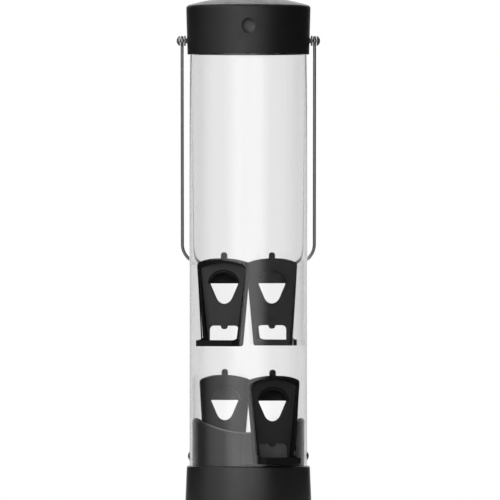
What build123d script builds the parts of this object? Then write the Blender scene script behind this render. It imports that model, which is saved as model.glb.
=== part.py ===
from build123d import *
import math
import os

# Tube bird feeder. Millimetres, +Z up, -Y is the front, origin at the centre of the base's underside.

# Tube
tube_outer_r = 57.15
tube_wall = 2.4
tube_length = 449.0
slip_gap = 0.35

# Base collar, with a socket for a one inch pole
collar_height = 43.0
collar_wall = 2.1
collar_flare = 1.8
collar_edge_radius = 1.8
floor_top = 35.0
floor_thickness = 4.0
skirt_wall = 2.6
pole_r = 12.7
pole_gap = 0.15
socket_wall = 3.0
socket_depth = 58.0
socket_roof = 3.0
rib_count = 6
rib_thickness = 2.0
rib_foot = 8.0
drain_r = 2.2
drain_count = 4
drain_circle_r = 44.0

# Seed deflector, the plug inside the tube's foot
deflector_wall = 2.4
saddle_top = 89.0
saddle_drop = 14.4
saddle_half = 50.0
deflector_edge_radius = 3.0
roof_drain_r = 1.6
roof_drain_y = 24.0

# Screws that hold the deflector on the collar
screw_r = 1.5
screw_head_r = 3.2
screw_head_height = 2.2
screw_length = 16.0
screw_gap = 0.1
screw_post_r = 4.2
screw_circle_r = 40.0
screw_angles = (28.0, 68.0, 208.0, 248.0)

# Feeding ports, four alike
port_azimuth = 31.0
lower_port_z = 45.5
tier_pitch = 113.4
plate_thickness = 2.2
plate_foot_half = 20.5
plate_top_half = 28.9
plate_corner_z = 80.0
plate_peak_z = 84.9
plate_corner_radius = 3.5
plate_foot_radius = 2.5
rim_side = 3.0
rim_top = 4.4
rim_corner_radius = 2.5
rim_foot_radius = 0.6
ledge_half = 20.5
ledge_thickness = 5.8
ledge_reach = 65.5
ledge_corner_radius = 2.0
cheek_height = 9.0
cheek_thickness = 1.8
feed_half = 16.0
feed_middle_z = 59.8
feed_taper = 0.5
feed_foot_radius = 10.6
hood_rise = 11.8
hood_lip_z = 60.6
hood_wall = 1.5
hood_lip = 1.4
hood_lip_proud = 0.9
window_half = 17.0
window_top_z = 19.8
window_corner_radius = 4.5
window_nub_r = 3.4
tab_half = 3.0
tab_top_z = 90.7
cutout_margin = 1.5
cutout_corner_radius = 6.0
cutout_foot_radius = 1.0

# Latch buttons
latch_z = 52.3
button_r = 4.85
button_proud = 1.4
button_dome = 2.2
button_travel = 4.0
button_gap = 0.3
button_flange_r = 6.7
button_flange_thickness = 2.0
latch_boss_wall = 2.0
latch_seat_depth = 4.0
spring_space = 10.05
spring_strip = 0.5
spring_width = 5.0
spring_half = 4.4
spring_folds = 5
spring_bend_radius = 0.7
spring_end_gap = 0.02
retainer_thickness = 4.0
retainer_gap = 0.1

# Cap
cap_overlap = 42.6
cap_wall = 1.55
cap_flare = 1.25
cap_shoulder_radius = 3.2
crown_rise = 9.0
crown_thickness = 2.2
cap_head_gap = 2.2
dimple_below_shoulder = 20.6
dimple_r = 7.6
dimple_depth = 1.6

# Bail and its pivots
pivot_below_top = 29.5
wire_r = 1.5
bail_run_above_ledge = 79.6
bail_corner_radius = 19.4
bail_rest_gap = 0.3
pin_r = 1.5
pin_fit = 0.05
pin_head_r = 4.9
pin_head_dome = 3.4
pin_tail = 1.5
eye_gap = 0.4
eye_side_gap = 0.45
eye_turn = 285.0
spacer_r = 2.5
spacer_flange = 1.7
spacer_gap = 0.25
spacer_seat_gap = 0.1
nut_r = 4.6
nut_thickness = 2.2
slot_gap = 0.4

# Sizes that follow from those above
tube_inner_r = tube_outer_r - tube_wall
tube_top = floor_top + tube_length
collar_bore_r = tube_outer_r + slip_gap
collar_top_r = collar_bore_r + collar_wall
collar_foot_r = collar_top_r + collar_flare
socket_r = pole_r + pole_gap
deflector_r = tube_inner_r - slip_gap
port_seat_r = tube_inner_r - slip_gap
port_plane = math.sqrt(port_seat_r**2 - plate_top_half**2)
flat_plane = port_plane - plate_thickness - 0.6
upper_port_z = lower_port_z + tier_pitch
latch_seat_x = deflector_r - latch_seat_depth
latch_bore_r = button_flange_r + button_gap
latch_boss_r = latch_bore_r + latch_boss_wall
flange_x = latch_seat_x - button_gap - button_flange_thickness
retainer_x = flange_x - spring_space
boss_end_x = retainer_x - retainer_thickness
cap_inner_r = tube_outer_r + slip_gap
cap_bottom_r = cap_inner_r + cap_wall
cap_top_r = cap_bottom_r + cap_flare
cap_bottom = tube_top - cap_overlap
cap_shoulder = tube_top + cap_head_gap + crown_thickness
crown_top = cap_shoulder + crown_rise
pivot_z = tube_top - pivot_below_top
spacer_flange_x = cap_top_r + spacer_gap
eye_x = spacer_flange_x + spacer_flange + eye_side_gap + wire_r
pin_head_x = eye_x + wire_r + eye_side_gap
eye_r = pin_r + eye_gap + wire_r
nut_face_x = math.sqrt(tube_inner_r**2 - nut_r**2) - spacer_seat_gap
bail_reach = tube_outer_r + wire_r + bail_rest_gap
bail_swing_r = math.hypot(pivot_z - upper_port_z - bail_run_above_ledge, bail_reach)
bail_length = math.sqrt(bail_swing_r**2 - eye_r**2)
bail_lean = math.asin(bail_reach / bail_swing_r) - math.asin(eye_r / bail_swing_r)

# Name, azimuth and ledge height of each port
ports = (
    ("upper_front_port", -port_azimuth, upper_port_z),
    ("upper_rear_port", 180.0 - port_azimuth, upper_port_z),
    ("lower_front_port", port_azimuth, lower_port_z),
    ("lower_rear_port", 180.0 + port_azimuth, lower_port_z),
)
lower_azimuths = (port_azimuth, 180.0 + port_azimuth)
sides = (1.0, -1.0)
standing = (Align.CENTER, Align.CENTER, Align.MIN)

os.makedirs("parts", exist_ok=True)


def save(node, piece):
    """Labels a finished piece and writes it to its own file."""
    piece.label = node
    export_step(piece, "parts/" + node + ".step")


def port_frame(azimuth, height):
    """Plane through the tube's axis that faces out along an azimuth, which is counted from the front."""
    turn = math.radians(azimuth)
    along = (math.cos(turn), math.sin(turn), 0)
    outwards = (math.sin(turn), -math.cos(turn), 0)
    return Plane(origin=(0, 0, height), x_dir=along, z_dir=outwards)


def tapered_arch(half_foot, half_top, foot, corner, peak, corner_radius, foot_radius):
    """Draws a tapered panel with an arched top and rounded corners in the open sketch."""
    with BuildLine() as edge:
        Polyline((-half_top, corner), (-half_foot, foot), (half_foot, foot), (half_top, corner))
        ThreePointArc((half_top, corner), (0, peak), (-half_top, corner))
    panel = make_face(edge.edges())
    rounded = fillet(panel.vertices().sort_by(Axis.Y)[-2:], corner_radius)
    fillet(rounded.vertices().sort_by(Axis.Y)[:2], foot_radius)


def x_rod(radius, start, end, height, mode=Mode.ADD):
    """Round bar along X between two places, at a height above the base."""
    with Locations((start, 0, height)):
        Cylinder(radius, end - start, rotation=(0, 90, 0), align=standing, mode=mode)


def dome_rise(rise, radius, place):
    """Height of a spherical dome at a distance from its axis, above the edge that it springs from."""
    sphere_r = (radius**2 + rise**2) / (2 * rise)
    return math.sqrt(sphere_r**2 - place**2) - sphere_r + rise


def turned_on_x(points, dome_start, dome_end, height):
    """Turns a stepped outline with a domed end about a line along X, at a height above the base."""
    start_x, start_r = dome_start
    middle_r = start_r / 2
    middle_x = start_x + dome_rise(dome_end - start_x, start_r, middle_r)
    with BuildSketch(Plane.XZ) as outline:
        with BuildLine() as edge:
            Polyline(*[(x, height + r) for x, r in points], (start_x, height + start_r))
            ThreePointArc((start_x, height + start_r), (middle_x, height + middle_r), (dome_end, height))
            Line((dome_end, height), (points[0][0], height + points[0][1]))
        make_face(edge.edges())
    revolve(outline.sketch, axis=Axis((0, 0, height), (1, 0, 0)))


def saddle_block(top):
    """Keeps what lies under a saddle that is low along the middle, from front to rear, and high at both sides."""
    with BuildSketch(Plane.XZ) as section:
        with BuildLine() as edge:
            Polyline(
                (-saddle_half, top),
                (-deflector_r, top),
                (-deflector_r, floor_top),
                (deflector_r, floor_top),
                (deflector_r, top),
                (saddle_half, top),
            )
            ThreePointArc((saddle_half, top), (0, top - saddle_drop), (-saddle_half, top))
        make_face(edge.edges())
    extrude(section.sketch, amount=deflector_r, both=True, mode=Mode.INTERSECT)


# Clear tube, with a cut-out in front of each port, latch holes at its foot and pivot holes near its top
cutout_foot_half = ledge_half + slip_gap
cutout_top_half = plate_top_half - cutout_margin
with BuildPart() as tube:
    with BuildSketch(Plane.XY.offset(floor_top)):
        Circle(tube_outer_r)
        Circle(tube_inner_r, mode=Mode.SUBTRACT)
    extrude(amount=tube_length)
    for node, azimuth, height in ports:
        with BuildSketch(port_frame(azimuth, height)):
            tapered_arch(
                cutout_foot_half,
                cutout_top_half,
                -slip_gap,
                plate_corner_z - cutout_margin,
                plate_peak_z - cutout_margin,
                cutout_corner_radius,
                cutout_foot_radius,
            )
        extrude(amount=tube_outer_r + tube_wall, mode=Mode.SUBTRACT)
    for hole_r, hole_z in ((button_r + button_gap, latch_z), (pin_r + pin_fit, pivot_z)):
        x_rod(hole_r, -tube_outer_r - tube_wall, tube_outer_r + tube_wall, hole_z, mode=Mode.SUBTRACT)
save("tube", tube.part)

# Feeding port, drawn facing the front: a shallow pan with a hooded opening, a window and a ledge
cheek_end = ledge_reach - ledge_corner_radius
with BuildPart() as port:
    with BuildSketch(Plane.XZ.offset(port_plane - plate_thickness)):
        tapered_arch(
            plate_foot_half,
            plate_top_half,
            0,
            plate_corner_z,
            plate_peak_z,
            plate_corner_radius,
            plate_foot_radius,
        )
    extrude(amount=tube_outer_r)
    Cylinder(port_seat_r, 2 * plate_peak_z, mode=Mode.INTERSECT)
    with BuildSketch(Plane.XZ.offset(port_plane)):
        tapered_arch(
            plate_foot_half - rim_side,
            plate_top_half - rim_side,
            ledge_thickness,
            plate_corner_z - rim_top,
            plate_peak_z - rim_top,
            rim_corner_radius,
            rim_foot_radius,
        )
    extrude(amount=tube_outer_r, mode=Mode.SUBTRACT)
    # Ledge that reaches out through the tube's cut-out
    with BuildSketch(Plane.XY) as ledge_plan:
        with Locations((0, -port_plane)):
            Rectangle(2 * ledge_half, ledge_reach - port_plane, align=(Align.CENTER, Align.MAX))
        fillet(ledge_plan.vertices().group_by(Axis.Y)[0], ledge_corner_radius)
    extrude(amount=ledge_thickness)
    # Curved cheek at each end of the ledge
    for side in sides:
        with BuildSketch(Plane.YZ.offset(side * (ledge_half - cheek_thickness / 2))):
            with BuildLine() as cheek:
                Line((-cheek_end, ledge_thickness), (-port_plane, ledge_thickness))
                Line((-port_plane, ledge_thickness), (-port_plane, ledge_thickness + cheek_height))
                EllipticalCenterArc(
                    (-cheek_end, ledge_thickness + cheek_height),
                    cheek_end - port_plane,
                    cheek_height,
                    start_angle=270,
                    arc_size=90,
                )
            make_face()
        extrude(amount=cheek_thickness / 2, both=True)
    # Pull tab on the plate's top edge
    with BuildSketch(Plane.XZ.offset(port_plane - plate_thickness)):
        with Locations((0, tab_top_z - tab_half)):
            Rectangle(2 * tab_half, tab_top_z - plate_peak_z, align=(Align.CENTER, Align.MAX))
        with Locations((0, tab_top_z - tab_half)):
            Circle(tab_half)
    extrude(amount=plate_thickness)
    # Opening: straight sides that close in to a round foot, and half an ellipse above under the hood
    with BuildSketch(Plane.XZ.offset(port_plane - plate_thickness)):
        with BuildLine() as opening:
            FilletPolyline(
                (-feed_half, feed_middle_z),
                (0, feed_middle_z - feed_half / feed_taper),
                (feed_half, feed_middle_z),
                radius=feed_foot_radius,
            )
            EllipticalCenterArc((0, feed_middle_z), feed_half, hood_rise, start_angle=0, arc_size=180)
        make_face(opening.edges())
    extrude(amount=plate_thickness, mode=Mode.SUBTRACT)
    # Hood: a quarter of a hollow spheroid that bulges inwards over the opening
    with BuildSketch(Plane.XZ.offset(port_plane)):
        with BuildLine() as hood_section:
            EllipticalCenterArc(
                (0, hood_lip_z), feed_half + hood_wall, hood_rise + hood_wall, start_angle=0, arc_size=180
            )
            Line((-feed_half - hood_wall, hood_lip_z), (-feed_half, hood_lip_z))
            EllipticalCenterArc((0, hood_lip_z), feed_half, hood_rise, start_angle=0, arc_size=180)
            Line((feed_half, hood_lip_z), (feed_half + hood_wall, hood_lip_z))
        make_face(hood_section.edges())
    revolve(axis=Axis((0, -port_plane, hood_lip_z), (-1, 0, 0)), revolution_arc=90)
    # Raised lip round the hood's mouth
    with BuildSketch(Plane.XZ.offset(port_plane)):
        with BuildLine() as lip:
            EllipticalCenterArc(
                (0, hood_lip_z), feed_half + hood_lip, hood_rise + hood_lip, start_angle=0, arc_size=180
            )
            Line((-feed_half - hood_lip, hood_lip_z), (-feed_half, hood_lip_z))
            EllipticalCenterArc((0, hood_lip_z), feed_half, hood_rise, start_angle=0, arc_size=180)
            Line((feed_half, hood_lip_z), (feed_half + hood_lip, hood_lip_z))
        make_face(lip.edges())
    extrude(amount=hood_lip_proud)
    # Window under the opening, with a small nub that hangs from its top edge
    with BuildSketch(Plane.XZ.offset(port_plane - plate_thickness)) as window:
        with Locations((0, ledge_thickness)):
            Rectangle(2 * window_half, window_top_z - ledge_thickness, align=(Align.CENTER, Align.MIN))
        fillet(window.vertices().group_by(Axis.Y)[-1], window_corner_radius)
        with Locations((0, window_top_z)):
            Circle(window_nub_r, mode=Mode.SUBTRACT)
    extrude(amount=plate_thickness, mode=Mode.SUBTRACT)
for node, azimuth, height in ports:
    with BuildPart() as placed_port:
        with Locations(Location((0, 0, height), (0, 0, azimuth))):
            add(port.part)
    save(node, placed_port.part)

# Hollow of the deflector, which leaves its screw posts and latch bosses standing
cavity_r = deflector_r - deflector_wall
with BuildPart() as hollow:
    with BuildSketch(Plane.XY.offset(floor_top)):
        Circle(cavity_r)
    extrude(amount=saddle_top - floor_top)
    saddle_block(saddle_top - deflector_wall)
    for azimuth in lower_azimuths:
        shelf_z = lower_port_z - 2 * slip_gap - deflector_wall
        with BuildSketch(port_frame(azimuth, shelf_z).offset(flat_plane - deflector_wall)):
            Rectangle(2 * deflector_r, saddle_top, align=(Align.CENTER, Align.MIN))
        extrude(amount=deflector_r, mode=Mode.SUBTRACT)
    for angle in screw_angles:
        with BuildSketch(Plane.XY.offset(floor_top)):
            with Locations(Location((0, 0, 0), angle)):
                with Locations((screw_circle_r, 0)):
                    Circle(screw_post_r)
        extrude(amount=saddle_top - floor_top, mode=Mode.SUBTRACT)
    x_rod(latch_boss_r, boss_end_x, deflector_r, latch_z, mode=Mode.SUBTRACT)
    x_rod(latch_boss_r, -deflector_r, -boss_end_x, latch_z, mode=Mode.SUBTRACT)

# Seed deflector: a saddle that lets the seed slide down to both lower ports, with a flat behind each of them
with BuildPart() as deflector:
    with BuildSketch(Plane.XY.offset(floor_top)):
        Circle(deflector_r)
    extrude(amount=saddle_top - floor_top)
    saddle_block(saddle_top)
    rim = deflector.edges().filter_by_position(Axis.Z, saddle_top - saddle_drop - 1, saddle_top + 1)
    fillet(rim, deflector_edge_radius)
    for azimuth in lower_azimuths:
        with BuildSketch(port_frame(azimuth, lower_port_z - 2 * slip_gap).offset(flat_plane)):
            Rectangle(2 * deflector_r, saddle_top, align=(Align.CENTER, Align.MIN))
        extrude(amount=deflector_r, mode=Mode.SUBTRACT)
    add(hollow.part, mode=Mode.SUBTRACT)
    for side in sides:
        near, far = sorted((side * (boss_end_x - 1), side * latch_seat_x))
        x_rod(latch_bore_r, near, far, latch_z, mode=Mode.SUBTRACT)
        near, far = sorted((side * boss_end_x, side * (deflector_r + 1)))
        x_rod(button_r + button_gap, near, far, latch_z, mode=Mode.SUBTRACT)
    for angle in screw_angles:
        with BuildSketch(Plane.XY.offset(floor_top)):
            with Locations(Location((0, 0, 0), angle)):
                with Locations((screw_circle_r, 0)):
                    Circle(screw_r + screw_gap)
        extrude(amount=screw_length, mode=Mode.SUBTRACT)
    with BuildSketch(Plane.XY.offset(saddle_top)):
        with Locations((0, roof_drain_y), (0, -roof_drain_y)):
            Circle(roof_drain_r)
    extrude(amount=-saddle_drop - 2 * deflector_wall, mode=Mode.SUBTRACT)
save("seed_deflector", deflector.part)

# Base collar: skirt, floor, pole socket and stiffening ribs
with BuildPart() as collar:
    with BuildSketch(Plane.XZ):
        with BuildLine():
            Polyline(
                (0, floor_top - floor_thickness),
                (collar_foot_r - skirt_wall - collar_flare * floor_top / collar_height,
                 floor_top - floor_thickness),
                (collar_foot_r - skirt_wall, 0),
                (collar_foot_r, 0),
                (collar_top_r, collar_height),
                (collar_bore_r, collar_height),
                (collar_bore_r, floor_top),
                (0, floor_top),
                (0, floor_top - floor_thickness),
            )
        make_face()
    revolve(axis=Axis.Z)
    fillet(collar.edges().group_by(Axis.Z)[-1].sort_by(SortBy.RADIUS)[-1], collar_edge_radius)
    with BuildSketch(Plane.XY):
        with PolarLocations(0, rib_count):
            Rectangle(collar_foot_r - skirt_wall / 2, rib_thickness, align=(Align.MIN, Align.CENTER))
    extrude(amount=floor_top - floor_thickness)
    with BuildSketch(Plane.XY):
        Circle(collar_foot_r - skirt_wall - collar_flare)
    extrude(amount=rib_foot, mode=Mode.SUBTRACT)
    with BuildSketch(Plane.XY):
        Circle(socket_r + socket_wall)
    extrude(amount=socket_depth + socket_roof)
    with BuildSketch(Plane.XY):
        Circle(socket_r)
    extrude(amount=socket_depth, mode=Mode.SUBTRACT)
    with BuildSketch(Plane.XY.offset(floor_top)):
        for angle in screw_angles:
            with Locations(Location((0, 0, 0), angle)):
                with Locations((screw_circle_r, 0)):
                    Circle(screw_r + screw_gap)
        with PolarLocations(drain_circle_r, drain_count, start_angle=180.0 / drain_count):
            Circle(drain_r)
    extrude(amount=-floor_thickness, mode=Mode.SUBTRACT)
save("base_collar", collar.part)

# Screws, driven from below through the floor into the deflector's posts
screw_head_top = floor_top - floor_thickness
with BuildPart() as screws:
    for angle in screw_angles:
        with Locations(Location((0, 0, 0), angle)):
            with Locations((screw_circle_r, 0, screw_head_top)):
                Cylinder(screw_head_r, screw_head_height, align=(Align.CENTER, Align.CENTER, Align.MAX))
                Cylinder(screw_r, screw_length, align=(Align.CENTER, Align.CENTER, Align.MIN))
save("base_screws", screws.part)

# Latch button: domed head, and a flange that stops it in its bore
with BuildPart() as right_button:
    flange_end = flange_x + button_flange_thickness
    button_end = tube_outer_r + button_proud
    turned_on_x(
        [
            (flange_x, 0),
            (flange_x, button_flange_r),
            (flange_end, button_flange_r),
            (flange_end, button_r),
        ],
        (button_end - button_dome, button_r),
        button_end,
        latch_z,
    )

# Retainer that closes the bore behind the button and carries the spring's other end
with BuildPart() as right_retainer:
    x_rod(latch_bore_r - retainer_gap, boss_end_x, retainer_x, latch_z)

# Flat strip spring, folded to and fro between the retainer and the button's flange
with BuildPart() as right_spring:
    first_x = retainer_x + spring_strip / 2 + spring_end_gap
    fold_step = (spring_space - spring_strip - 2 * spring_end_gap) / (spring_folds - 1)
    fold_places = [first_x] + [first_x + fold_step * fold for fold in range(spring_folds)]
    fold_places.append(fold_places[-1])
    folds = [(place, latch_z + spring_half * (-1) ** fold) for fold, place in enumerate(fold_places)]
    with BuildSketch(Plane.XZ):
        with BuildLine():
            FilletPolyline(*folds, radius=spring_bend_radius)
        trace(line_width=spring_strip)
    extrude(amount=spring_width / 2, both=True)

# Cap: flared skirt and domed crown
ceiling = cap_shoulder - crown_thickness
with BuildPart() as cap:
    with BuildSketch(Plane.XZ) as cap_section:
        with BuildLine():
            Polyline(
                (0, ceiling + crown_rise),
                (0, crown_top),
            )
            ThreePointArc(
                (0, crown_top),
                (cap_top_r / 2, cap_shoulder + dome_rise(crown_rise, cap_top_r, cap_top_r / 2)),
                (cap_top_r, cap_shoulder),
            )
            Polyline(
                (cap_top_r, cap_shoulder),
                (cap_bottom_r, cap_bottom),
                (cap_inner_r, cap_bottom),
                (cap_inner_r, ceiling),
            )
            ThreePointArc(
                (cap_inner_r, ceiling),
                (cap_inner_r / 2, ceiling + dome_rise(crown_rise, cap_inner_r, cap_inner_r / 2)),
                (0, ceiling + crown_rise),
            )
        make_face()
    revolve(axis=Axis.Z)
    shoulder = cap.edges().filter_by_position(Axis.Z, cap_shoulder - 0.1, cap_shoulder + 0.1)
    fillet(shoulder, cap_shoulder_radius)
    # Slots that let the cap pass the bail's pivots
    slot_half = spacer_r + slot_gap
    with BuildSketch(Plane.YZ):
        with Locations((0, pivot_z)):
            Circle(slot_half)
            Rectangle(2 * slot_half, pivot_z - cap_bottom + slot_half, align=(Align.CENTER, Align.MAX))
    extrude(amount=2 * cap_top_r, both=True, mode=Mode.SUBTRACT)
    # Plain round dimple on the front of the skirt
    dimple_sphere_r = (dimple_r**2 + dimple_depth**2) / (2 * dimple_depth)
    dimple_skirt_r = cap_top_r - cap_flare * dimple_below_shoulder / (cap_shoulder - cap_bottom)
    dimple_y = dimple_depth - dimple_skirt_r - dimple_sphere_r
    with Locations((0, dimple_y, cap_shoulder - dimple_below_shoulder)):
        Sphere(dimple_sphere_r, mode=Mode.SUBTRACT)
save("cap", cap.part)

# Bail: one bent wire, with each end curled into an eye, drawn in the plane that its legs hang in
bail_plane = Plane(
    origin=(0, eye_r * math.cos(bail_lean), pivot_z + eye_r * math.sin(bail_lean)),
    x_dir=(1, 0, 0),
    z_dir=(0, -math.cos(bail_lean), -math.sin(bail_lean)),
)
with BuildPart() as bail:
    with BuildLine(bail_plane) as bail_path:
        FilletPolyline(
            (-eye_x, 0),
            (-eye_x, -bail_length),
            (eye_x, -bail_length),
            (eye_x, 0),
            radius=bail_corner_radius,
        )
    for edge in bail_path.edges():
        with BuildSketch(Plane(origin=edge @ 0, z_dir=edge % 0)):
            Circle(wire_r)
        if edge.geom_type == GeomType.LINE:
            extrude(amount=edge.length)
        else:
            bend_axis = Axis(edge.arc_center, (edge @ 0 - edge.arc_center).cross(edge % 0))
            revolve(axis=bend_axis, revolution_arc=math.degrees(edge.length / edge.radius))
    for side in sides:
        with BuildSketch(Plane(origin=bail_plane.from_local_coords((side * eye_x, 0, 0)), z_dir=bail_plane.y_dir)):
            Circle(wire_r)
        revolve(axis=Axis((side * eye_x, 0, pivot_z), (1, 0, 0)), revolution_arc=eye_turn)
save("bail", bail.part)

# Pivot pin: domed head outside the bail's eye, shank through the spacer and the tube wall
with BuildPart() as right_pin:
    tail_x = nut_face_x - nut_thickness - pin_tail
    turned_on_x(
        [(tail_x, 0), (tail_x, pin_r), (pin_head_x, pin_r), (pin_head_x, pin_head_r)],
        (pin_head_x + 0.4, pin_head_r),
        pin_head_x + pin_head_dome,
        pivot_z,
    )

# Flanged spacer that stands the eye off the tube, through the cap's slot
with BuildPart() as right_spacer:
    x_rod(spacer_r, tube_outer_r + spacer_seat_gap, spacer_flange_x, pivot_z)
    x_rod(pin_head_r, spacer_flange_x, spacer_flange_x + spacer_flange, pivot_z)
    x_rod(pin_r + pin_fit, tube_outer_r, eye_x, pivot_z, mode=Mode.SUBTRACT)

# Push nut on the pin, inside the tube
with BuildPart() as right_nut:
    x_rod(nut_r, nut_face_x - nut_thickness, nut_face_x, pivot_z)
    x_rod(pin_r + pin_fit, tail_x, nut_face_x, pivot_z, mode=Mode.SUBTRACT)

# Each paired piece, on the right and mirrored to the left
pairs = (
    ("latch_button", right_button),
    ("latch_retainer", right_retainer),
    ("latch_spring", right_spring),
    ("pivot_pin", right_pin),
    ("pivot_spacer", right_spacer),
    ("pivot_nut", right_nut),
)
for node, right in pairs:
    save("right_" + node, right.part)
    with BuildPart() as left:
        mirror(right.part, about=Plane.YZ)
    save("left_" + node, left.part)
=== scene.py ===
import math
from collections import namedtuple

import bpy
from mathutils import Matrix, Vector


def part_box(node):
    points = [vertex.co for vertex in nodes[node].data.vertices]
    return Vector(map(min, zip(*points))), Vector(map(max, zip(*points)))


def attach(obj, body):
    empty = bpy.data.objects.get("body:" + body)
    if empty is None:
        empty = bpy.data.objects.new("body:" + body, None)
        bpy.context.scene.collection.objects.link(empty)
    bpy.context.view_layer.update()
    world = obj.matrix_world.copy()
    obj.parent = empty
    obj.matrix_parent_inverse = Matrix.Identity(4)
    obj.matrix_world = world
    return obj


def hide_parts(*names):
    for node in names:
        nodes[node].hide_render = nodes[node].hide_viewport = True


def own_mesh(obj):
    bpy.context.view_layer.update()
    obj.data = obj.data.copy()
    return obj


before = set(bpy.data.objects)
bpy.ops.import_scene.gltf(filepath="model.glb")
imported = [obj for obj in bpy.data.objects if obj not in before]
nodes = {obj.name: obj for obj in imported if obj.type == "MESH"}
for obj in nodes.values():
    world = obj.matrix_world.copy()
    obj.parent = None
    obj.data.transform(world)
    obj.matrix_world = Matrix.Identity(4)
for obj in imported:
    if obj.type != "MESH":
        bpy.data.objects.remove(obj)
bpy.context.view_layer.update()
scene = bpy.context.scene
scene.view_settings.view_transform = "Standard"

# Lengths are in metres and angles in degrees, where no comment says otherwise
Corner = namedtuple("Corner", "x y z")


def corners_of(name):
    """Lowest and highest corner of a CAD node, to a hundredth of a millimetre."""
    return [Corner(*(round(value, 5) for value in corner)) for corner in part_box(name)]


tube_low, tube_high = corners_of("tube")
pin_low, pin_high = corners_of("right_pivot_pin")
button_low, button_high = corners_of("right_latch_button")
spring_low, spring_high = corners_of("right_latch_spring")

# Camera and floor
eye_height = 0.2518
camera_aside = 0.0016
camera_distance = 12.0
camera_range = 100.0
field_width = 0.4845
floor_radius = 0.42
floor_drop = 0.0005
floor_sides = 96
# Shares of the floor's radius between which it fades out
floor_fade = (0.45, 0.98)
floor_grey = 0.86
floor_lift = 0.6
# Width of the camera's sensor, in millimetres
sensor_width = 36.0

# Direction, reach in degrees and strength of each soft patch of studio light
studio_patches = [
    ((-0.1, -1, 0), 48, 1.5),
    ((-0.8, -0.6, 0.5), 55, 0.9),
    ((0, 0, 1), 55, 0.6),
    ((0, 1, 0.4), 34, 2.0),
]
studio_grey = 0.04
# How far backwards a turned ray points where the white backdrop starts and where it is full
backdrop_start = 0.45
backdrop_full = 0.85

# Clear tube
tube_sizes = {
    "Outer radius": tube_high.x,
    "Wall": 0.0024,
    "Foot": tube_low.z,
    "Length": tube_high.z - tube_low.z,
    "Corner radius": 0.006,
    "Foot corner radius": 0.001,
    "Latch hole radius": 0.00515,
    "Pivot hole radius": 0.00155,
}
tube_sides = 288
bore_length = 4.0
hole_length = 0.2
latch_height = (button_low.z + button_high.z) / 2
pivot_height = (pin_low.z + pin_high.z) / 2
# Least cosine between a face and the true cylinder for the face to lie on the wall
wall_facing = 0.99

# Port openings in the tube: half width and height of their corners above the port's ledge
opening_foot = (0.02085, -0.00035)
opening_corner = (0.0274, 0.0785)
opening_peak = 0.0834
arch_shares = (0.68, 0.34, 0, -0.34, -0.68)
opening_round_steps = 10
# The block that cuts an opening starts this far from the tube's axis, and is this deep
block_start = 0.02
block_depth = 0.05
weld_distance = 1e-6

# Ports: azimuth from the front, and height of the ledge
port_azimuths = {"upper_front": -31, "upper_rear": 149, "lower_front": 31, "lower_rear": 211}
port_places = {}
for name, azimuth in port_azimuths.items():
    ledge = corners_of(name + "_port")[0].z
    port_places[name] = (azimuth, ledge)

# Second finishes of the ports, darker for painted shade: the plate's face from the feeder's axis, and the
# hood's reach above the ledge
plate_face = 0.04609
plate_margin = 0.00025
hood_reach = (0.0603, 0.0745)
# The deflector's flat behind each lower port, from the feeder's axis, which gets painted light
flat_face = 0.04329
# Dimple in the front of the cap's skirt, which gets painted shade, and the least cosine between its faces and
# the front
dimple_height = 0.46826
dimple_radius = 0.0076
dimple_facing = 0.5
# Play that the rules for the flats and the dimple allow
finish_margin = 0.0001

# Screws under the base's floor
screw_sizes = {
    "Head radius": 0.0032,
    "Head height": 0.0022,
    "Head dome": 0.0008,
    "Recess width": 0.0009,
    "Recess length": 0.0044,
    "Recess bar height": 0.0026,
    "Core radius": 0.00115,
    "Thread radius": 0.00035,
    "Thread turns": 13.0,
    "Length": 0.016,
}
dome_power = 2.5
recess_drop = 0.0016
thread_share = 0.94
screw_circle_radius = 0.04
screw_angles = (28, 68, 208, 248)
screw_tip = corners_of("base_screws")[1].z
screw_seat = screw_tip - screw_sizes["Length"]
head_sides = 48
head_rings = 8
core_sides = 32
thread_steps = 24

# Push nuts inside the tube, with the tilt of their teeth in radians
nut_sizes = {
    "Rim radius": 0.0046,
    "Rim width": 0.0013,
    "Rim thickness": 0.0006,
    "Teeth": 8,
    "Tooth length": 0.0023,
    "Tooth width": 0.0015,
    "Tooth thickness": 0.0005,
    "Tooth tilt": 0.6,
}
nut_sides = 64
nut_cut_length = 0.01
tooth_pinch = 0.45
tooth_lift = 0.001
tooth_overhang = 0.36
nut_gap = 0.0003
nut_face = tube_sizes["Outer radius"] - tube_sizes["Wall"] - nut_gap

# Folded strip springs behind the latch buttons
spring_sizes = {
    "Strip thickness": 0.0005,
    "Strip width": spring_high.y - spring_low.y,
    "Bend radius": 0.0007,
}
spring_folds = 5
spring_half_height = 0.0044
spring_start = spring_low.x + spring_sizes["Strip thickness"] / 2
spring_end = spring_high.x - spring_sizes["Strip thickness"] / 2
spring_step = (spring_end - spring_start) / (spring_folds - 1)
bend_steps = 8

# Edges that turn more than this stay sharp, in radians as the next one is
sharp_angle = math.radians(35)
quarter_turn = math.radians(90)

# Part of the noise that a speckle is made from
noise_low = 0.3
noise_high = 0.7
# Moulded plastic: radius of its softened edges and depth of its grain
edge_radius = 0.0006
edge_samples = 6
grain_depth = 0.0002
# Cosine between the softened normal and the true one, on the flats and where an edge is fully rubbed
flat_cosine = 0.999
edge_cosine = 0.93
# Drawn steel: depth of its streaks, and their strength
streak_depth = 0.0001
streak_strength = 0.15


def node(tree, kind, inputs=None, **settings):
    """Adds a node, and feeds each named input from a value, another node's output or a list of them."""
    made = tree.nodes.new(kind)
    for key, value in settings.items():
        setattr(made, key, value)
    for key, value in (inputs or {}).items():
        socket = made.inputs[key]
        for source in value if isinstance(value, list) else [value]:
            if isinstance(source, bpy.types.NodeSocket):
                tree.links.new(source, socket)
            else:
                socket.default_value = source
    return made


def calculate(tree, first, operation, second):
    """Works out one value from two, in any tree."""
    return node(tree, "ShaderNodeMath", {0: first, 1: second}, operation=operation).outputs["Value"]


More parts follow.
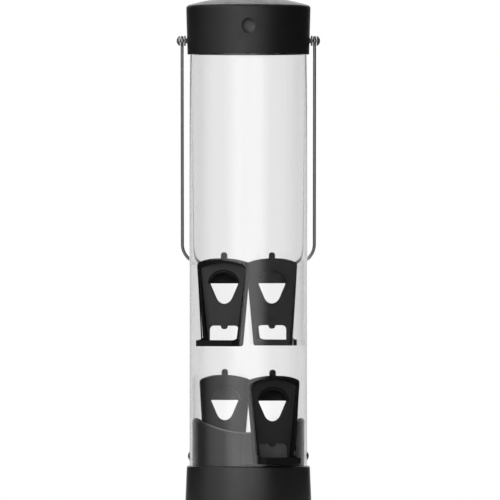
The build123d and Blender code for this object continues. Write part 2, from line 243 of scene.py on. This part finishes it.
def vector_of(tree, **axes):
    """Vector from its named axes, with nought for the others."""
    return node(tree, "ShaderNodeCombineXYZ", axes).outputs["Vector"]


def empty_material(name):
    """Starts a material, and gives it back with its empty tree and its output node."""
    material = bpy.data.materials.new(name)
    material.use_nodes = True
    tree = material.node_tree
    tree.nodes.clear()
    return material, tree, tree.nodes.new("ShaderNodeOutputMaterial")


def spread(tree, value, start, end, low, high):
    """Carries a value from one range over to another, and holds it at the ends."""
    limits = {"Value": value, "From Min": start, "From Max": end, "To Min": low, "To Max": high}
    return node(tree, "ShaderNodeMapRange", limits).outputs["Result"]


def speckle(tree, scale, detail, low=0, high=1, stretch=(1, 1, 1)):
    """Noise on object coordinates, spread between two values."""
    where = node(tree, "ShaderNodeTexCoord").outputs["Object"]
    scaled = node(tree, "ShaderNodeMapping", {"Vector": where, "Scale": stretch}).outputs["Vector"]
    noise = node(tree, "ShaderNodeTexNoise", {"Vector": scaled, "Scale": scale, "Detail": detail})
    return spread(tree, noise.outputs["Fac"], noise_low, noise_high, low, high)


def blend_colour(tree, factor, first, second):
    """Colour that goes from one to the other with a factor, either of them a grey value or a socket."""
    mix = node(tree, "ShaderNodeMix", {"Factor": factor}, data_type="RGBA")
    for name, colour in (("A", first), ("B", second)):
        socket = next(s for s in mix.inputs if s.name == name and s.type == "RGBA")
        if isinstance(colour, bpy.types.NodeSocket):
            tree.links.new(colour, socket)
        else:
            socket.default_value = (colour, colour, colour, 1)
    return next(s for s in mix.outputs if s.type == "RGBA")


def blend_value(tree, factor, first, second):
    """Value that goes from one to the other with a factor."""
    return node(tree, "ShaderNodeMix", {"Factor": factor, "A": first, "B": second}).outputs["Result"]


def rubbed_edges(tree, soft_normal):
    """How far a place is rubbed: nothing on the flats, most on the piece's edges, and never evenly."""
    shape = node(tree, "ShaderNodeNewGeometry").outputs["Normal"]
    facing = node(tree, "ShaderNodeVectorMath", {0: soft_normal, 1: shape}, operation="DOT_PRODUCT")
    edge = spread(tree, facing.outputs["Value"], flat_cosine, edge_cosine, 0, 1)
    return calculate(tree, edge, "MULTIPLY", speckle(tree, scale=90, detail=3, low=0.2))


def moulded_plastic(name, dark, light, rubbed, rough, specular, grain):
    """Moulded plastic: fine eroded grain, uneven sheen, softened and rubbed edges."""
    material, tree, out = empty_material(name)
    edge = node(tree, "ShaderNodeBevel", {"Radius": edge_radius}, samples=edge_samples).outputs["Normal"]
    colour = blend_colour(tree, speckle(tree, scale=38, detail=3), dark, light)
    colour = blend_colour(tree, rubbed_edges(tree, edge), colour, rubbed)
    bump = node(tree, "ShaderNodeBump", {
        "Strength": grain,
        "Distance": grain_depth,
        "Height": speckle(tree, scale=1500, detail=2),
        "Normal": edge,
    })
    shader = node(tree, "ShaderNodeBsdfPrincipled", {
        "Base Color": colour,
        "Roughness": speckle(tree, scale=65, detail=4, low=rough[0], high=rough[1]),
        "Specular IOR Level": specular,
        "Normal": bump.outputs["Normal"],
    })
    tree.links.new(shader.outputs["BSDF"], out.inputs["Surface"])
    return material


def drawn_steel(name, dark, light, rough, stretch):
    """Drawn and plated steel with fine streaks."""
    material, tree, out = empty_material(name)
    streaks = speckle(tree, scale=900, detail=3, stretch=stretch)
    bump = node(tree, "ShaderNodeBump", {
        "Strength": streak_strength,
        "Distance": streak_depth,
        "Height": streaks,
    })
    shader = node(tree, "ShaderNodeBsdfPrincipled", {
        "Base Color": blend_colour(tree, streaks, dark, light),
        "Metallic": 1.0,
        "Roughness": speckle(tree, scale=700, detail=3, low=rough[0], high=rough[1], stretch=stretch),
        "Normal": bump.outputs["Normal"],
    })
    tree.links.new(shader.outputs["BSDF"], out.inputs["Surface"])
    return material


def clear_tube_plastic(name):
    """Clear extruded plastic: faint lines along the tube, and a grey cast that deepens on the way through."""
    material, tree, out = empty_material(name)
    lines = speckle(tree, scale=260, detail=2, stretch=(1, 1, 0.02))
    shader = node(tree, "ShaderNodeBsdfPrincipled", {
        "Base Color": blend_colour(tree, lines, 0.95, 0.965),
        "Roughness": speckle(tree, scale=120, detail=4, low=0.015, high=0.05),
        "IOR": 1.45,
        "Transmission Weight": 1.0,
    })
    # Light reaches what stands in the tube straight through its wall
    clear = node(tree, "ShaderNodeBsdfTransparent", {"Color": (0.9, 0.9, 0.9, 1)})
    shadow = node(tree, "ShaderNodeLightPath").outputs["Is Shadow Ray"]
    parts = {0: shadow, 1: shader.outputs["BSDF"], 2: clear.outputs["BSDF"]}
    surface = node(tree, "ShaderNodeMixShader", parts)
    cast = node(tree, "ShaderNodeVolumeAbsorption", {"Color": (0.5, 0.5, 0.5, 1), "Density": 30.0})
    tree.links.new(surface.outputs["Shader"], out.inputs["Surface"])
    tree.links.new(cast.outputs["Volume"], out.inputs["Volume"])
    return material


# Plastics: darkest and lightest grey, grey of rubbed edges, roughness, specular level and strength of grain
black_plastic = moulded_plastic("black_plastic", 0.008, 0.012, 0.026, (0.38, 0.47), 0.45, 0.25)
# Dimple finish: smoother, and darker as painted shade in the recess
polished_painted_shade_plastic = moulded_plastic("polished_painted_shade_plastic", 0.002, 0.003, 0.003, (0.18, 0.25), 0.55, 0.1)
collar_plastic = moulded_plastic("collar_plastic", 0.006, 0.01, 0.028, (0.3, 0.38), 0.6, 0.2)
deflector_plastic = moulded_plastic("deflector_plastic", 0.011, 0.016, 0.015, (0.45, 0.55), 0.35, 0.25)
# Pale deflector finish: painted light on the flats that the ports shade
painted_light_plastic = moulded_plastic("painted_light_plastic", 0.09, 0.13, 0.12, (0.5, 0.6), 0.3, 0.25)
port_plastic = moulded_plastic("port_plastic", 0.02, 0.028, 0.022, (0.4, 0.5), 0.4, 0.25)
# Darker port finish: painted shade on the rim, the ledge and inside the hood, with a matt sheen
port_painted_shade_plastic = moulded_plastic("port_painted_shade_plastic", 0.004, 0.006, 0.006, (0.5, 0.6), 0.15, 0.35)
spacer_plastic = moulded_plastic("spacer_plastic", 0.16, 0.2, 0.24, (0.4, 0.5), 0.4, 0.25)
# Steels: darkest and lightest grey, roughness, and how the streaks are drawn out along each axis
wire_steel = drawn_steel("wire_steel", 0.26, 0.36, (0.3, 0.42), (1, 1, 0.03))
pin_steel = drawn_steel("pin_steel", 0.38, 0.5, (0.4, 0.55), (0.2, 1, 1))
spring_steel = drawn_steel("spring_steel", 0.3, 0.42, (0.25, 0.4), (1, 0.05, 1))
screw_steel = drawn_steel("screw_steel", 0.45, 0.6, (0.25, 0.4), (1, 1, 1))
clear_plastic = clear_tube_plastic("clear_plastic")

# Finish of each CAD node, by the end of its name
finishes = {
    "_port": port_plastic,
    "_pin": pin_steel,
    "_nut": pin_steel,
    "_spacer": spacer_plastic,
    "_button": black_plastic,
    "_retainer": black_plastic,
    "_spring": spring_steel,
    "tube": clear_plastic,
    "cap": black_plastic,
    "bail": wire_steel,
    "seed_deflector": deflector_plastic,
    "base_collar": collar_plastic,
    "base_screws": screw_steel,
}
for name, piece in nodes.items():
    piece.data.materials.clear()
    piece.data.materials.append(next(finish for end, finish in finishes.items() if name.endswith(end)))


def second_finish(piece, finish, takes_it):
    """Gives a second finish to the faces of a CAD piece that a rule picks by their corners and normal."""
    piece.data.materials.append(finish)
    for face in piece.data.polygons:
        corners = [piece.data.vertices[corner].co for corner in face.vertices]
        if takes_it(corners, face.normal):
            face.material_index = 1


def outwards_at(azimuth):
    """Direction away from the feeder's axis, with the front at nought."""
    return Vector((math.sin(math.radians(azimuth)), -math.cos(math.radians(azimuth)), 0))


def port_with_painted_shade(piece, azimuth, ledge):
    """Port with painted shade on its rim, ledge and hood: these take a darker, matt finish round its smoother
    plate.
    """
    outwards = outwards_at(azimuth)

    def is_painted_shade(corners, normal):
        depths = [corner.dot(outwards) - plate_face for corner in corners]
        heights = [corner.z - ledge for corner in corners]
        proud = max(depths) > plate_margin
        in_reach = min(heights) > hood_reach[0] and max(heights) < hood_reach[1]
        in_hood = in_reach and min(depths) < -plate_margin
        # Painted shade goes on what stands proud of the plate and on the inside of the hood
        return proud or in_hood and normal.dot(outwards) > normal.z

    second_finish(piece, port_painted_shade_plastic, is_painted_shade)


def deflector_with_painted_light(piece):
    """Deflector with painted light on the two flats behind the lower ports: a pale colour where the ports
    shade them.
    """
    directions = [outwards_at(port_azimuths[name]) for name in ("lower_front", "lower_rear")]

    def is_flat(corners, normal):
        offsets = []
        for outwards in directions:
            offsets.append(max(abs(corner.dot(outwards) - flat_face) for corner in corners))
        return min(offsets) < finish_margin

    second_finish(piece, painted_light_plastic, is_flat)


def dimple_with_painted_shade(piece):
    """Cap with a dimple that its mould left smoother than the skirt round it, and darker: painted shade in
    its recess.
    """
    middle = Vector((0, 0, dimple_height))

    def is_dimple(corners, normal):
        reach = max((corner * Vector((1, 0, 1)) - middle).length for corner in corners)
        return normal.y < -dimple_facing and reach < dimple_radius + finish_margin

    second_finish(piece, polished_painted_shade_plastic, is_dimple)


for name, (azimuth, ledge) in port_places.items():
    port_with_painted_shade(nodes[name + "_port"], azimuth, ledge)
deflector_with_painted_light(nodes["seed_deflector"])
dimple_with_painted_shade(nodes["cap"])


def geometry_tree(name, sizes):
    """Starts a geometry tree with a named input for each size, and gives back its two ends."""
    tree = bpy.data.node_groups.new(name, "GeometryNodeTree")
    tree.interface.new_socket("Geometry", in_out="INPUT", socket_type="NodeSocketGeometry")
    for label, size in sizes.items():
        kind = "NodeSocketInt" if isinstance(size, int) else "NodeSocketFloat"
        tree.interface.new_socket(label, in_out="INPUT", socket_type=kind)
    tree.interface.new_socket("Geometry", in_out="OUTPUT", socket_type="NodeSocketGeometry")
    return tree, node(tree, "NodeGroupInput").outputs, node(tree, "NodeGroupOutput").inputs["Geometry"]


def close_tree(tree, geometry, material, end):
    """Ends a geometry tree in real meshes with a material."""
    real = node(tree, "GeometryNodeRealizeInstances", {"Geometry": geometry}).outputs["Geometry"]
    coated = node(tree, "GeometryNodeSetMaterial", {"Geometry": real, "Material": material})
    tree.links.new(coated.outputs["Geometry"], end)


def grow(name, points, edges, tree, sizes):
    """Runs a geometry tree on a few points and keeps what it makes as a plain mesh."""
    start = bpy.data.meshes.new(name)
    start.from_pydata(points, edges, [])
    piece = bpy.data.objects.new(name, start)
    scene.collection.objects.link(piece)
    modifier = piece.modifiers.new("grow", "NODES")
    modifier.node_group = tree
    for socket in tree.interface.items_tree:
        if socket.name in sizes:
            modifier[socket.identifier] = sizes[socket.name]
    grown = piece.evaluated_get(bpy.context.evaluated_depsgraph_get())
    mesh = bpy.data.meshes.new_from_object(grown)
    piece.modifiers.remove(modifier)
    piece.data = mesh
    return piece


def moved(tree, geometry, place=(0, 0, 0), turn=(0, 0, 0)):
    """Turns a geometry and moves it."""
    inputs = {"Geometry": geometry, "Translation": place, "Rotation": turn}
    return node(tree, "GeometryNodeTransform", inputs).outputs["Geometry"]


def rod(tree, radius, length, sides=48):
    """Round bar that stands on Z, about the origin."""
    sizes = {"Vertices": sides, "Radius": radius, "Depth": length}
    return node(tree, "GeometryNodeMeshCylinder", sizes).outputs["Mesh"]


def square_bar(tree, length, width, height):
    """Square bar along X, about the origin."""
    size = vector_of(tree, X=length, Y=width, Z=height)
    return node(tree, "GeometryNodeMeshCube", {"Size": size}).outputs["Mesh"]


def cut(tree, body, tools):
    """Cuts tools away from a body."""
    inputs = {"Mesh 1": body, "Mesh 2": tools}
    boolean = node(tree, "GeometryNodeMeshBoolean", inputs, operation="DIFFERENCE", solver="EXACT")
    return boolean.outputs["Mesh"]


def joined(tree, pieces):
    """Puts geometries together as they are."""
    return node(tree, "GeometryNodeJoinGeometry", {"Geometry": pieces}).outputs["Geometry"]


def half_up(tree, length):
    """Step up Z by half a length."""
    return vector_of(tree, Z=calculate(tree, length, "MULTIPLY", 0.5))


def keep_sharp(mesh):
    """Shades a mesh smooth and keeps its sharp edges."""
    mesh.shade_smooth()
    mesh.set_sharp_from_angle(angle=sharp_angle)


def true_round(mesh):
    """Gives the faces on the tube's wall the normals of the true cylinder, and leaves the cut edges flat."""
    normals = []
    for face in mesh.polygons:
        for corner in face.vertices:
            place = mesh.vertices[corner].co
            outwards = Vector((place.x, place.y, 0)).normalized()
            turn = face.normal.dot(outwards)
            if turn > wall_facing:
                normals.append(outwards)
            elif turn < -wall_facing:
                normals.append(-outwards)
            else:
                normals.append(face.normal.copy())
    mesh.shade_smooth()
    mesh.normals_split_custom_set(normals)


def opening_outline():
    """Corners of a port's opening: sides that open upwards from a straight foot, under an arch."""
    half_foot, foot = opening_foot
    half_top, corner = opening_corner
    rise = opening_peak - corner
    arch_radius = (half_top**2 + rise**2) / (2 * rise)
    points = [(-half_foot, foot, 0), (half_foot, foot, 0), (half_top, corner, 0)]
    for share in arch_shares:
        across = share * half_top
        points.append((across, opening_peak - arch_radius + math.sqrt(arch_radius**2 - across**2), 0))
    points.append((-half_top, corner, 0))
    return points


def opening_block(tree, size):
    """Block that cuts a port's opening: the outline is rounded at its corners, filled and drawn out."""
    outline = node(tree, "GeometryNodeMeshToCurve", {"Mesh": size["Geometry"]}).outputs["Curve"]
    place = node(tree, "GeometryNodeInputPosition").outputs["Position"]
    height = node(tree, "ShaderNodeSeparateXYZ", {"Vector": place}).outputs["Y"]
    at_foot = calculate(tree, height, "LESS_THAN", opening_corner[1] / 2)
    radius = blend_value(tree, at_foot, size["Corner radius"], size["Foot corner radius"])
    rounding = {"Curve": outline, "Count": opening_round_steps, "Radius": radius, "Limit Radius": True}
    rounded = node(tree, "GeometryNodeFilletCurve", rounding, mode="POLY").outputs["Curve"]
    panel = node(tree, "GeometryNodeFillCurve", {"Curve": rounded}, mode="NGONS").outputs["Mesh"]
    drawing = {"Mesh": panel, "Offset Scale": block_depth}
    drawn = node(tree, "GeometryNodeExtrudeMesh", drawing).outputs["Mesh"]
    back = node(tree, "GeometryNodeFlipFaces", {"Mesh": panel}).outputs["Mesh"]
    welding = {"Geometry": joined(tree, [drawn, back]), "Distance": weld_distance}
    block = node(tree, "GeometryNodeMergeByDistance", welding).outputs["Geometry"]
    return moved(tree, block, place=(0, 0, block_start))


def clear_tube():
    """Clear tube: a round wall with port openings, latch holes and pivot holes cut through it."""
    tree, size, end = geometry_tree("tube_wall", tube_sizes)
    block = opening_block(tree, size)
    tools = []
    for azimuth, ledge in port_places.values():
        turn = (quarter_turn, 0, math.radians(azimuth))
        tools.append(moved(tree, block, place=(0, 0, ledge), turn=turn))
    # Holes straight through both sides
    for label, height in (("Latch hole radius", latch_height), ("Pivot hole radius", pivot_height)):
        drill = rod(tree, size[label], hole_length)
        tools.append(moved(tree, drill, place=(0, 0, height), turn=(0, quarter_turn, 0)))
    # Wall
    inner = calculate(tree, size["Outer radius"], "SUBTRACT", size["Wall"])
    tools.append(rod(tree, inner, bore_length, sides=tube_sides))
    half = calculate(tree, size["Length"], "MULTIPLY", 0.5)
    middle = vector_of(tree, Z=calculate(tree, size["Foot"], "ADD", half))
    blank = rod(tree, size["Outer radius"], size["Length"], sides=tube_sides)
    wall = moved(tree, blank, place=middle)
    close_tree(tree, cut(tree, wall, tools), clear_plastic, end)

    points = opening_outline()
    edges = [(start, (start + 1) % len(points)) for start in range(len(points))]
    tube = grow("clear_tube", points, edges, tree, tube_sizes)
    true_round(tube.data)
    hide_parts("tube")
    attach(tube, "feeder")


def screw_head(tree, size):
    """Screw's head, which hangs below the origin, with a domed outer face and a cross recess."""
    blank = node(tree, "GeometryNodeMeshCylinder", {
        "Vertices": head_sides,
        "Fill Segments": head_rings,
        "Radius": size["Head radius"],
        "Depth": size["Head height"],
    }).outputs["Mesh"]
    # The outer face falls away towards its rim
    place = node(tree, "GeometryNodeInputPosition").outputs["Position"]
    flat = node(tree, "ShaderNodeVectorMath", {0: place, 1: (1, 1, 0)}, operation="MULTIPLY")
    reach = node(tree, "ShaderNodeVectorMath", {0: flat.outputs["Vector"]}, operation="LENGTH")
    share = calculate(tree, reach.outputs["Value"], "DIVIDE", size["Head radius"])
    fall = calculate(tree, share, "POWER", dome_power)
    lift = vector_of(tree, Z=calculate(tree, fall, "MULTIPLY", size["Head dome"]))
    height = node(tree, "ShaderNodeSeparateXYZ", {"Vector": place}).outputs["Z"]
    outer_face = calculate(tree, height, "LESS_THAN", 0)
    shaping = {"Geometry": blank, "Selection": outer_face, "Offset": lift}
    domed = node(tree, "GeometryNodeSetPosition", shaping).outputs["Geometry"]
    bar = square_bar(tree, size["Recess length"], size["Recess width"], size["Recess bar height"])
    bars = []
    for turn in (0, quarter_turn):
        bars.append(moved(tree, bar, place=(0, 0, -recess_drop), turn=(0, 0, turn)))
    half_down = vector_of(tree, Z=calculate(tree, size["Head height"], "MULTIPLY", -0.5))
    return moved(tree, cut(tree, domed, bars), place=half_down)


def base_screws():
    """Cross-recessed screws with a turned thread, one at each place under the base's floor."""
    tree, size, end = geometry_tree("base_screw", screw_sizes)
    bar = rod(tree, size["Core radius"], size["Length"], sides=core_sides)
    core = moved(tree, bar, place=half_up(tree, size["Length"]))
    spiral = node(tree, "GeometryNodeCurveSpiral", {
        "Resolution": thread_steps,
        "Rotations": size["Thread turns"],
        "Start Radius": size["Core radius"],
        "End Radius": size["Core radius"],
        "Height": calculate(tree, size["Length"], "MULTIPLY", thread_share),
    }).outputs["Curve"]
    ridge = node(tree, "GeometryNodeCurvePrimitiveCircle", {"Resolution": 3, "Radius": size["Thread radius"]})
    swept = {"Curve": spiral, "Profile Curve": ridge.outputs["Curve"], "Fill Caps": True}
    thread = node(tree, "GeometryNodeCurveToMesh", swept).outputs["Mesh"]
    screw = joined(tree, [screw_head(tree, size), core, thread])
    spots = {"Points": size["Geometry"], "Instance": screw}
    placed = node(tree, "GeometryNodeInstanceOnPoints", spots).outputs["Instances"]
    close_tree(tree, placed, screw_steel, end)

    points = []
    for angle in screw_angles:
        across = screw_circle_radius * math.cos(math.radians(angle))
        along = screw_circle_radius * math.sin(math.radians(angle))
        points.append((across, along, screw_seat))
    screws = grow("cross_recess_screws", points, [], tree, screw_sizes)
    keep_sharp(screws.data)
    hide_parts("base_screws")
    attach(screws, "feeder")


def nut_tooth(tree, size, place):
    """Tooth of a push nut: a strip that narrows towards the pin and tilts off the rim."""
    strip = square_bar(tree, size["Tooth length"], size["Tooth width"], size["Tooth thickness"])
    axes = node(tree, "ShaderNodeSeparateXYZ", {"Vector": place}).outputs
    inner_end = calculate(tree, axes["X"], "LESS_THAN", 0)
    pinch = vector_of(tree, Y=calculate(tree, axes["Y"], "MULTIPLY", -tooth_pinch))
    shaping = {"Geometry": strip, "Selection": inner_end, "Offset": pinch}
    narrowed = node(tree, "GeometryNodeSetPosition", shaping).outputs["Geometry"]
    tilt = vector_of(tree, Y=size["Tooth tilt"])
    turned = node(tree, "FunctionNodeEulerToRotation", {"Euler": tilt}).outputs["Rotation"]
    return moved(tree, narrowed, place=(0, 0, tooth_lift), turn=turned)


def push_nuts():
    """Push nuts: a flat rim with a ring of tilted teeth that bite on the pin."""
    tree, size, end = geometry_tree("push_nut", nut_sizes)
    hole = calculate(tree, size["Rim radius"], "SUBTRACT", size["Rim width"])
    disc = rod(tree, size["Rim radius"], size["Rim thickness"], sides=nut_sides)
    drill = rod(tree, hole, nut_cut_length, sides=nut_sides)
    rim = moved(tree, cut(tree, disc, [drill]), place=half_up(tree, size["Rim thickness"]))
    # Ring of teeth that point at the pin
    place = node(tree, "GeometryNodeInputPosition").outputs["Position"]
    overhang = calculate(tree, size["Tooth length"], "MULTIPLY", tooth_overhang)
    ring_radius = calculate(tree, hole, "SUBTRACT", overhang)
    circle = {"Vertices": size["Teeth"], "Radius": ring_radius}
    ring = node(tree, "GeometryNodeMeshCircle", circle).outputs["Mesh"]
    facing = node(tree, "FunctionNodeAlignRotationToVector", {"Vector": place}, axis="X", pivot_axis="Z")
    tooth = nut_tooth(tree, size, place)
    spots = {"Points": ring, "Instance": tooth, "Rotation": facing.outputs["Rotation"]}
    teeth = node(tree, "GeometryNodeInstanceOnPoints", spots).outputs["Instances"]
    # The start point lies on the side of the tube where the nut sits, and the nut's teeth lean to the axis
    back = node(tree, "ShaderNodeVectorMath", {0: place, 1: (-1, 0, 0)}, operation="MULTIPLY")
    away = {"Vector": back.outputs["Vector"]}
    inwards = node(tree, "FunctionNodeAlignRotationToVector", away, axis="Z", pivot_axis="Y")
    spots = {
        "Points": size["Geometry"],
        "Instance": joined(tree, [rim, teeth]),
        "Rotation": inwards.outputs["Rotation"],
    }
    placed = node(tree, "GeometryNodeInstanceOnPoints", spots).outputs["Instances"]
    close_tree(tree, placed, pin_steel, end)

    for name, side in (("left", -1), ("right", 1)):
        nut = grow(name + "_push_nut", [(side * nut_face, 0, pivot_height)], [], tree, nut_sizes)
        keep_sharp(nut.data)
        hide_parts(name + "_pivot_nut")
        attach(nut, "feeder")


def latch_springs():
    """Folded strip springs between retainers and latch buttons."""
    tree, size, end = geometry_tree("strip_spring", spring_sizes)
    path = node(tree, "GeometryNodeMeshToCurve", {"Mesh": size["Geometry"]}).outputs["Curve"]
    rounding = {"Curve": path, "Count": bend_steps, "Radius": size["Bend radius"], "Limit Radius": True}
    folded = node(tree, "GeometryNodeFilletCurve", rounding, mode="POLY").outputs["Curve"]
    section = {"Width": size["Strip thickness"], "Height": size["Strip width"]}
    strip = node(tree, "GeometryNodeCurvePrimitiveQuadrilateral", section).outputs["Curve"]
    swept = {"Curve": folded, "Profile Curve": strip, "Fill Caps": True}
    spring = node(tree, "GeometryNodeCurveToMesh", swept).outputs["Mesh"]
    raised = moved(tree, spring, place=(0, 0, latch_height), turn=(quarter_turn, 0, 0))
    close_tree(tree, raised, spring_steel, end)

    folds = [0] + list(range(spring_folds)) + [spring_folds - 1]
    for name, side in (("left", -1), ("right", 1)):
        points = []
        for turn, fold in enumerate(folds):
            reach = spring_start + fold * spring_step
            points.append((side * reach, spring_half_height * (-1) ** turn, 0))
        edges = [(start, start + 1) for start in range(len(points) - 1)]
        spring = grow(name + "_strip_spring", points, edges, tree, spring_sizes)
        keep_sharp(spring.data)
        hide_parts(name + "_latch_spring")
        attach(spring, "feeder")
        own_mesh(spring)


def straight_through(tree, path):
    """One for a ray that has come through the tube and met nothing dull on its way, nought for others."""
    undimmed = calculate(tree, path["Diffuse Depth"], "LESS_THAN", 0.5)
    return calculate(tree, path["Is Transmission Ray"], "MULTIPLY", undimmed)


def soft_floor():
    """Pale round floor that keeps the shadow, fades out at its edge and is clear from below."""
    place = (0, 0, -floor_drop)
    round_sheet = {"vertices": floor_sides, "radius": floor_radius, "fill_type": "NGON"}
    bpy.ops.mesh.primitive_circle_add(location=place, **round_sheet)
    floor = bpy.context.object
    floor.name = "floor"
    material, tree, out = empty_material("floor_paper")
    where = node(tree, "ShaderNodeTexCoord").outputs["Object"]
    length = node(tree, "ShaderNodeVectorMath", {0: where}, operation="LENGTH").outputs["Value"]
    fade_start, fade_end = (floor_radius * share for share in floor_fade)
    ends = {"Value": length, "From Min": fade_start, "From Max": fade_end}
    fade = node(tree, "ShaderNodeMapRange", ends, interpolation_type="SMOOTHSTEP").outputs["Result"]
    colour = (floor_grey, floor_grey, floor_grey, 1)
    paper = node(tree, "ShaderNodeBsdfDiffuse", {"Color": colour}).outputs["BSDF"]
    # Lifted towards white for the camera, also through the tube
    path = node(tree, "ShaderNodeLightPath").outputs
    seen = calculate(tree, path["Is Camera Ray"], "MAXIMUM", straight_through(tree, path))
    lift = calculate(tree, seen, "MULTIPLY", floor_lift)
    glow = node(tree, "ShaderNodeEmission", {"Strength": lift}).outputs["Emission"]
    both = node(tree, "ShaderNodeAddShader", {0: paper, 1: glow}).outputs["Shader"]
    clear = node(tree, "ShaderNodeBsdfTransparent").outputs["BSDF"]
    below = node(tree, "ShaderNodeNewGeometry").outputs["Backfacing"]
    open_floor = calculate(tree, fade, "MAXIMUM", below)
    mix = node(tree, "ShaderNodeMixShader", {0: open_floor, 1: both, 2: clear}).outputs["Shader"]
    tree.links.new(mix, out.inputs["Surface"])
    floor.data.materials.append(material)


def studio_world():
    """White straight behind the feeder and through its tube, soft patches of light for everything else."""
    world = bpy.data.worlds.new("studio")
    scene.world = world
    world.use_nodes = True
    tree = world.node_tree
    tree.nodes.clear()
    out = node(tree, "ShaderNodeOutputWorld")
    path = node(tree, "ShaderNodeLightPath").outputs
    where = node(tree, "ShaderNodeTexCoord").outputs["Generated"]
    light = studio_grey
    for direction, reach, strength in studio_patches:
        aim = Vector(direction).normalized()
        facing = node(tree, "ShaderNodeVectorMath", {0: where, 1: aim}, operation="DOT_PRODUCT")
        patch = node(tree, "ShaderNodeMapRange", {
            "Value": facing.outputs["Value"],
            "From Min": math.cos(math.radians(reach)),
            "From Max": 1.0,
            "To Max": strength,
        }, interpolation_type="SMOOTHSTEP")
        light = calculate(tree, patch.outputs["Result"], "ADD", light)
    # A ray that comes through the tube sees the white backdrop, unless the wall has thrown it to the side
    backwards = node(tree, "ShaderNodeSeparateXYZ", {"Vector": where}).outputs["Y"]
    backdrop = spread(tree, backwards, backdrop_start, backdrop_full, 0, 1)
    unturned = calculate(tree, path["Glossy Depth"], "LESS_THAN", 0.5)
    clear_way = calculate(tree, unturned, "MAXIMUM", backdrop)
    through = calculate(tree, straight_through(tree, path), "MULTIPLY", clear_way)
    seen = calculate(tree, path["Is Camera Ray"], "MAXIMUM", through)
    level = blend_value(tree, seen, light, 1.0)
    white = node(tree, "ShaderNodeBackground", {"Color": (1, 1, 1, 1), "Strength": level})
    tree.links.new(white.outputs["Background"], out.inputs["Surface"])


def photo_camera():
    """Level camera at the photograph's angle, far enough back to show next to no perspective."""
    lens = bpy.data.cameras.new("camera")
    lens.sensor_fit = "HORIZONTAL"
    lens.sensor_width = sensor_width
    lens.lens = sensor_width * camera_distance / field_width
    lens.clip_end = camera_range
    holder = bpy.data.objects.new("camera", lens)
    holder.location = (camera_aside, -camera_distance, eye_height)
    holder.rotation_euler = (quarter_turn, 0, 0)
    scene.collection.objects.link(holder)
    scene.camera = holder


clear_tube()
base_screws()
push_nuts()
latch_springs()
soft_floor()
studio_world()
photo_camera()
